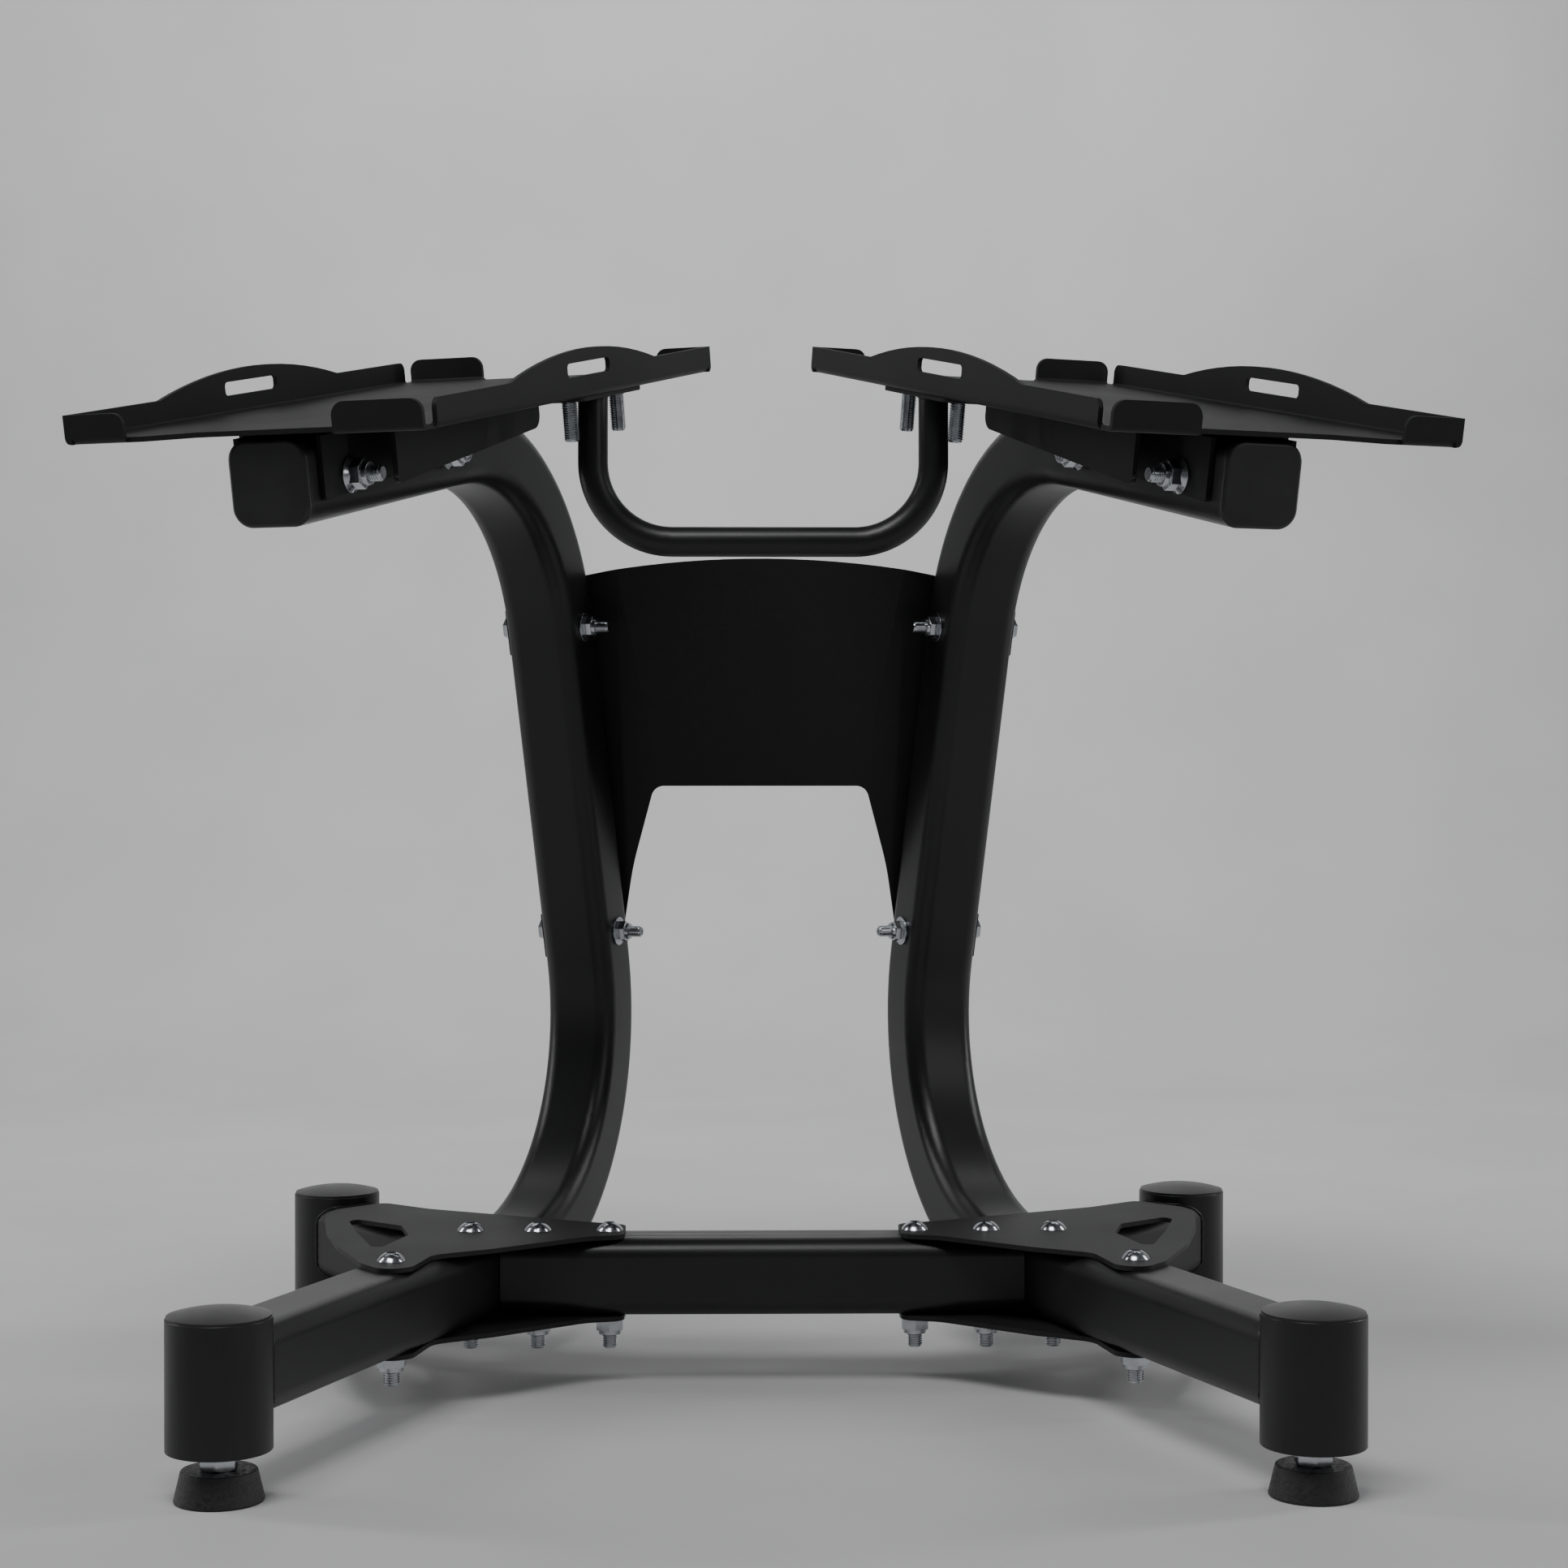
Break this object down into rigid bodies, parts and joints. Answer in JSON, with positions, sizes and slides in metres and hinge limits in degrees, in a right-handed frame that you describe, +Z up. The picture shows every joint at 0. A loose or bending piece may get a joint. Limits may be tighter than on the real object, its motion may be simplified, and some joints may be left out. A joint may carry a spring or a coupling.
{
  "type": "adjustable dumbbell stand",
  "caption": "Free-standing steel stand with two sloping trays on bent square-tube frames, a crossbar base, a back panel, a brace and levelling feet, for a pair of adjustable dumbbells.",
  "frame": {"origin": "on the floor, under the middle of the stand's outline in plan, on its plane of symmetry", "axes": "+Z up, +X to the user's right, +Y to the back: the user stands on the -Y side and the trays slope down towards -Y"},
  "size_m": [0.7996, 0.5444, 0.6886],
  "materials": {
    "black_tube": "satin fine-grain black powder coat",
    "black_sheet": "matte fine-grain black powder coat",
    "zinc_steel": "bright zinc plate",
    "black_plastic": "fine-grain black plastic",
    "rubber": "matte black rubber"
  },
  "bodies": {
    "stand": {"back_panel": "black_sheet", "base_bolts": "zinc_steel", "base_lock_nuts": "zinc_steel", "base_washers": "zinc_steel", "brace_bolts": "zinc_steel", "brace_tube": "black_tube", "clamp_nuts": "zinc_steel", "crossbar": "black_tube", "front_clamp_bolts": "zinc_steel", "left_arm_end_cap": "black_plastic", "left_bent_frame_tube": "black_tube", "left_brace_plate": "black_sheet", "left_front_foot_insert": "zinc_steel", "left_front_post": "black_tube", "left_front_post_cap": "black_plastic", "left_inner_arm_cheek": "black_sheet", "left_inner_channel_doubler": "black_sheet", "left_lower_gusset_plate": "black_sheet", "left_outer_arm_cheek": "black_sheet", "left_outer_channel_doubler": "black_sheet", "left_rear_foot_insert": "zinc_steel", "left_rear_leg_tube": "black_tube", "left_rear_post": "black_tube", "left_rear_post_cap": "black_plastic", "left_tray": "black_sheet", "left_tray_channel": "black_sheet", "left_upper_gusset_plate": "black_sheet", "panel_bolts": "zinc_steel", "panel_lock_nuts": "zinc_steel", "panel_washers": "zinc_steel", "rear_clamp_bolts": "zinc_steel", "right_arm_end_cap": "black_plastic", "right_bent_frame_tube": "black_tube", "right_brace_plate": "black_sheet", "right_front_foot_insert": "zinc_steel", "right_front_post": "black_tube", "right_front_post_cap": "black_plastic", "right_inner_arm_cheek": "black_sheet", "right_inner_channel_doubler": "black_sheet", "right_lower_gusset_plate": "black_sheet", "right_outer_arm_cheek": "black_sheet", "right_outer_channel_doubler": "black_sheet", "right_rear_foot_insert": "zinc_steel", "right_rear_leg_tube": "black_tube", "right_rear_post": "black_tube", "right_rear_post_cap": "black_plastic", "right_tray": "black_sheet", "right_tray_channel": "black_sheet", "right_upper_gusset_plate": "black_sheet"},
    "right_front_foot_pad": {"right_front_foot_pad": "rubber"},
    "right_front_foot_stud": {"right_front_foot_stud": "zinc_steel"},
    "right_rear_foot_pad": {"right_rear_foot_pad": "rubber"},
    "right_rear_foot_stud": {"right_rear_foot_stud": "zinc_steel"},
    "left_front_foot_pad": {"left_front_foot_pad": "rubber"},
    "left_front_foot_stud": {"left_front_foot_stud": "zinc_steel"},
    "left_rear_foot_pad": {"left_rear_foot_pad": "rubber"},
    "left_rear_foot_stud": {"left_rear_foot_stud": "zinc_steel"}
  },
  "joints": [
    {"name": "right_front_foot_height", "type": "slide", "parent": "stand", "child": "right_front_foot_pad", "axis": [0, 0, -1], "range_m": [0, 0.0105]},
    {"name": "right_front_foot_screw", "type": "hinge", "parent": "right_front_foot_pad", "child": "right_front_foot_stud", "pos_m": [0.30116, -0.2427, 0.03], "axis": [0, 0, -1], "range_deg": [0, 2160]},
    {"name": "right_rear_foot_height", "type": "slide", "parent": "stand", "child": "right_rear_foot_pad", "axis": [0, 0, -1], "range_m": [0, 0.0105]},
    {"name": "right_rear_foot_screw", "type": "hinge", "parent": "right_rear_foot_pad", "child": "right_rear_foot_stud", "pos_m": [0.298, 0.2068, 0.03], "axis": [0, 0, -1], "range_deg": [0, 2160]},
    {"name": "left_front_foot_height", "type": "slide", "parent": "stand", "child": "left_front_foot_pad", "axis": [0, 0, -1], "range_m": [0, 0.0105]},
    {"name": "left_front_foot_screw", "type": "hinge", "parent": "left_front_foot_pad", "child": "left_front_foot_stud", "pos_m": [-0.30116, -0.2427, 0.03], "axis": [0, 0, -1], "range_deg": [0, 2160]},
    {"name": "left_rear_foot_height", "type": "slide", "parent": "stand", "child": "left_rear_foot_pad", "axis": [0, 0, -1], "range_m": [0, 0.0105]},
    {"name": "left_rear_foot_screw", "type": "hinge", "parent": "left_rear_foot_pad", "child": "left_rear_foot_stud", "pos_m": [-0.298, 0.2068, 0.03], "axis": [0, 0, -1], "range_deg": [0, 2160]}
  ],
  "couplings": [
    {"joint": "right_front_foot_screw", "follows": "right_front_foot_height", "rad_per_m": 3590},
    {"joint": "right_rear_foot_screw", "follows": "right_rear_foot_height", "rad_per_m": 3590},
    {"joint": "left_front_foot_screw", "follows": "left_front_foot_height", "rad_per_m": 3590},
    {"joint": "left_rear_foot_screw", "follows": "left_rear_foot_height", "rad_per_m": 3590}
  ]
}
